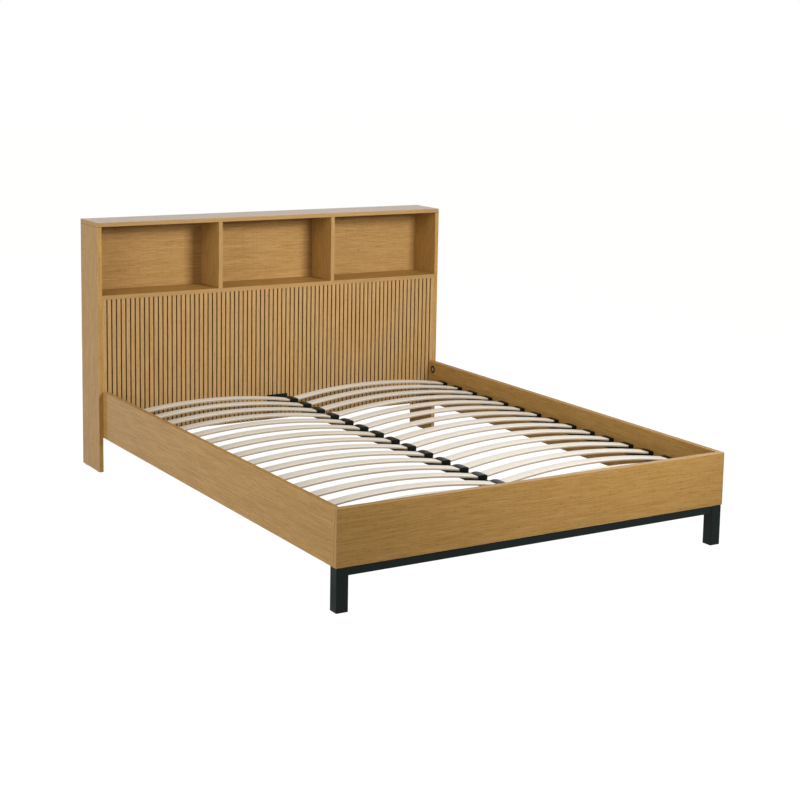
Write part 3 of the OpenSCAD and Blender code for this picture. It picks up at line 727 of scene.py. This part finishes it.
def centreHolders(name):
    # The right half runs from the middle to its open end and back in, and the left half mirrors it.
    # The roof is an arch across the slat that also falls a little towards both open ends.
    half = holderSize["centreLength"] / 2
    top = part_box(name)[1][2]

    def roofAt(x, y):
        return top - arcDrop(x, half, holderSize["crown"]) - arcDrop(y, holderHalf, holderSize["sag"])

    outerX = half * np.sin(np.linspace(0.0, quarterTurn, holderSize["centreSections"]))
    pocketX = np.linspace(half - holderSize["pocketStart"], holderSize["pocketEnd"],
                          holderSize["pocketSections"])
    rightRings = holderRings(outerX, roofAt, pocketX)
    leftRings = rightRings[1:][::-1] * [-1.0, 1.0, 1.0]
    pegs(name, 0.0)
    caps = overRows(np.concatenate([leftRings, rightRings]))
    return ringPiece(name + "_caps", caps, blackPlastic, [name])


sideHolders("holders_right", 1.0)
sideHolders("holders_left", -1.0)
centreHolders("holders_centre")
print("holders: 3 rows of", len(slatMiddles))


# Fluted panel: one outline with a round-edged rib between each pair of grooves, drawn upwards

flute = {
    "ribs": 78,
    "grooveWidth": 0.0052,
    "grooveDepth": 0.006,
    "lip": 0.0011,
    "lipSteps": 4,
    "seed": 17.6,
}


def flutedPanel(name, material):
    # A groove's outline is a quarter circle over its left lip, two corners at its floor and the mirrored
    # lip. It is repeated at an even pitch along the front, and the outline is carried from low to high.
    low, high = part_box(name)
    half = flute["grooveWidth"] / 2
    lip = flute["lip"]
    turn = np.linspace(0.0, quarterTurn, flute["lipSteps"] + 1)
    lipX = -half - lip + lip * np.sin(turn)
    lipY = lip - lip * np.cos(turn)
    grooveX = np.concatenate([lipX, [-half, half], -lipX[::-1]])
    grooveY = np.concatenate([lipY, [flute["grooveDepth"]] * 2, lipY[::-1]])
    pitch = (high[0] - low[0]) / flute["ribs"]
    middles = low[0] + pitch * np.arange(1, flute["ribs"])
    frontX = (middles[:, None] + grooveX).reshape(-1)
    frontY = low[1] + np.tile(grooveY, len(middles))
    rings = np.empty((1, 2, len(frontX) + 4, 3))
    rings[..., 0] = np.concatenate([[low[0]], frontX, [high[0], high[0], low[0]]])
    rings[..., 1] = np.concatenate([[low[1]], frontY, [low[1], high[1], high[1]]])
    rings[..., 2] = np.array([low[2], high[2]])[:, None]
    return ringPiece(name + "_ribs", rings, material, [name])


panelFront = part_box("fluted_panel")[0][1]
ribOak = oakFinish("oak fluted", "z", flute["seed"], flutedOak, grooveFace=panelFront)
flutedPanel("fluted_panel", ribOak)
print("fluted panel:", flute["ribs"], "ribs")


# Fitting rings: a round-edged profile turned about the fitting's axis

fittingSize = {
    "ring": 0.017,
    "height": 0.0022,
    "round": 0.0009,
    "bore": 0.0098,
    "sleeve": 0.0125,
    "depth": 0.015,
    "roundSteps": 4,
    "sides": 48,
}


def middleOf(values):
    return (values.max() + values.min()) / 2


def fittingPlaces():
    # Y and Z of the fittings in a rail, from the corners of their cores: two at the head end, one above
    # the other, and one at the foot end as high as the upper one
    vertices = nodes["fitting_cores"].data.vertices
    corners = np.empty(3 * len(vertices), np.float32)
    vertices.foreach_get("co", corners)
    corners = corners.reshape(-1, 3).astype(float)
    atHead = corners[:, 1] > 0
    headHeights = corners[atHead, 2]
    isUpper = headHeights > middleOf(headHeights)
    headY = middleOf(corners[atHead, 1])
    footY = middleOf(corners[~atHead, 1])
    upperZ = middleOf(headHeights[isUpper])
    lowerZ = middleOf(headHeights[~isUpper])
    return [(headY, upperZ), (headY, lowerZ), (footY, upperZ)]


def fittingRings(name, places):
    # The profile runs in along the sleeve, out under the ring, over its two round edges and back in
    # along the bore. Each of its points turns in a circle about X, at its distance from the rail's face.
    ring, bore, sleeve = fittingSize["ring"], fittingSize["bore"], fittingSize["sleeve"]
    height, depth, edge = fittingSize["height"], fittingSize["depth"], fittingSize["round"]
    turn = np.linspace(0.0, quarterTurn, fittingSize["roundSteps"])
    outerR = ring - edge + edge * np.cos(turn)
    outerH = height - edge + edge * np.sin(turn)
    innerR = bore + edge - edge * np.sin(turn)
    innerH = height - edge + edge * np.cos(turn)
    radii = np.concatenate([[sleeve, sleeve, ring], outerR, innerR, [bore]])[:, None]
    heights = np.concatenate([[-depth, 0.0, 0.0], outerH, innerH, [-depth]])[:, None]
    angle = np.linspace(0.0, 2 * math.pi, fittingSize["sides"], endpoint=False)
    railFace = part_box("rail_right")[0][0]
    rings = np.empty((2 * len(places), len(radii), len(angle), 3))
    sides = [(place, side) for place in places for side in (-1.0, 1.0)]
    for one, ((y, z), side) in zip(rings, sides):
        one[..., 0] = side * (railFace - heights)
        one[..., 1] = y + side * radii * np.cos(angle)
        one[..., 2] = z + radii * np.sin(angle)
    return ringPiece(name + "_turned", rings, blackPlastic, [name], joined=True)


railFittings = fittingPlaces()
fittingRings("fitting_rings", railFittings)
print("fitting rings:", 2 * len(railFittings))


# Floor, world and lamps

floorLook = {
    "size": 60.0,
    "shade": 0.50,
    "glow": 0.98,
    "mattShare": 0.25,
}
skyLook = {
    "colour": (1.0, 0.78, 0.56),
    "strength": 0.205,
}
# Where each lamp stands, where it shines at, its width, its spread in degrees and its power in watts
lamps = {
    "key": ((1.0, -2.72, 2.09), (0.0, 1.1, 0.9), 1.07, 96.0, 40.0),
    "fill": ((-3.9, -1.2, 1.9), (-0.4, 0.4, 0.4), 2.4, 180.0, 68.0),
    "side": ((-3.9, 0.9, 0.75), (-0.8, 0.7, 0.45), 1.5, 180.0, 25.0),
    "rear": ((0.6, 3.6, 0.45), (0.0, 1.1, 0.5), 0.8, 180.0, 28.0),
    "right": ((4.4, 0.4, 0.33), (0.8, 0.0, 0.4), 0.6, 180.0, 38.0),
}


def raysThatSeeWhite(shading):
    # 1 for rays from the camera, and for those that a glossy or clear surface sends on
    rays = {wire.socket.name: wire for wire in shading.add("ShaderNodeLightPath")}
    return rays["Is Camera Ray"].above(rays["Is Glossy Ray"]).above(rays["Is Transmission Ray"])


def floorMaterial():
    # Matt grey for the light that falls on it, and mostly an even white for the rays that see white
    material = bpy.data.materials.new("pale floor")
    material.use_nodes = True
    material.node_tree.nodes.clear()
    floor = Shading(material.node_tree)
    glowShare = 1.0 - floorLook["mattShare"]
    matt = floor.add("ShaderNodeBsdfDiffuse", {}, {"Color": (floorLook["shade"],) * 3})[0]
    glow = floor.add("ShaderNodeEmission", {}, {"Strength": floorLook["glow"] / glowShare})[0]
    share = raysThatSeeWhite(floor) * glowShare
    whole = floor.add("ShaderNodeMixShader", {}, {0: share, 1: matt, 2: glow})[0]
    floor.add("ShaderNodeOutputMaterial", {}, {"Surface": whole})
    return material


def makeFloor():
    half = floorLook["size"] / 2
    corners = [(-half, -half, 0.0), (half, -half, 0.0), (half, half, 0.0), (-half, half, 0.0)]
    mesh = bpy.data.meshes.new("floor")
    mesh.from_pydata(corners, [], [(0, 1, 2, 3)])
    floor = bpy.data.objects.new("floor", mesh)
    bpy.context.scene.collection.objects.link(floor)
    mesh.materials.append(floorMaterial())


def makeWorld():
    # A dim warm sky that lights the bed, and plain white for the rays that see white
    world = bpy.data.worlds.new("studio")
    bpy.context.scene.world = world
    world.use_nodes = True
    world.node_tree.nodes.clear()
    air = Shading(world.node_tree)
    skyValues = {"Color": skyLook["colour"], "Strength": skyLook["strength"]}
    sky = air.add("ShaderNodeBackground", {}, skyValues)[0]
    white = air.add("ShaderNodeBackground", {}, {"Color": (1.0, 1.0, 1.0), "Strength": 1.0})[0]
    whole = air.add("ShaderNodeMixShader", {}, {0: raysThatSeeWhite(air), 1: sky, 2: white})[0]
    air.add("ShaderNodeOutputWorld", {}, {"Surface": whole})


def makeLamp(name, place, aim, width, spread, power):
    # A square lamp, tilted and turned so that it shines from place to aim
    light = bpy.data.lights.new(name, "AREA")
    light.size = width
    light.spread = math.radians(spread)
    light.energy = power
    lamp = bpy.data.objects.new(name, light)
    bpy.context.scene.collection.objects.link(lamp)
    lamp.visible_camera = False
    lamp.visible_glossy = False  # so that no lamp shape shows on the lacquer
    x, y, z = np.array(aim) - np.array(place)
    lift = math.atan2(z, math.hypot(x, y))
    lamp.location = place
    lamp.rotation_euler = (quarterTurn + lift, 0.0, math.atan2(-x, y))


makeFloor()
makeWorld()
for name, setting in lamps.items():
    makeLamp(name, *setting)


# Camera: at the photograph's angle, found by fitting the bed's real corners to the picture

camera = {
    "place": (-3.3817, -5.6687, 1.8387),
    "turn": (81.246, -1.0265, -31.244),
    "focalPixels": 1677.9,
    "imageWidth": 800.0,
    "middleRow": 300.0,
}


def makeCamera():
    # The focal length in pixels over the image's width is the one in millimetres over the sensor's width
    lens = bpy.data.cameras.new("camera")
    lens.lens = camera["focalPixels"] / camera["imageWidth"] * lens.sensor_width
    lens.shift_y = (camera["middleRow"] - camera["imageWidth"] / 2) / camera["imageWidth"]
    viewer = bpy.data.objects.new("camera", lens)
    bpy.context.scene.collection.objects.link(viewer)
    viewer.location = camera["place"]
    viewer.rotation_euler = [math.radians(angle) for angle in camera["turn"]]
    bpy.context.scene.camera = viewer


makeCamera()
bpy.context.scene.view_settings.view_transform = "Standard"
print("stage, lamps and camera are set")
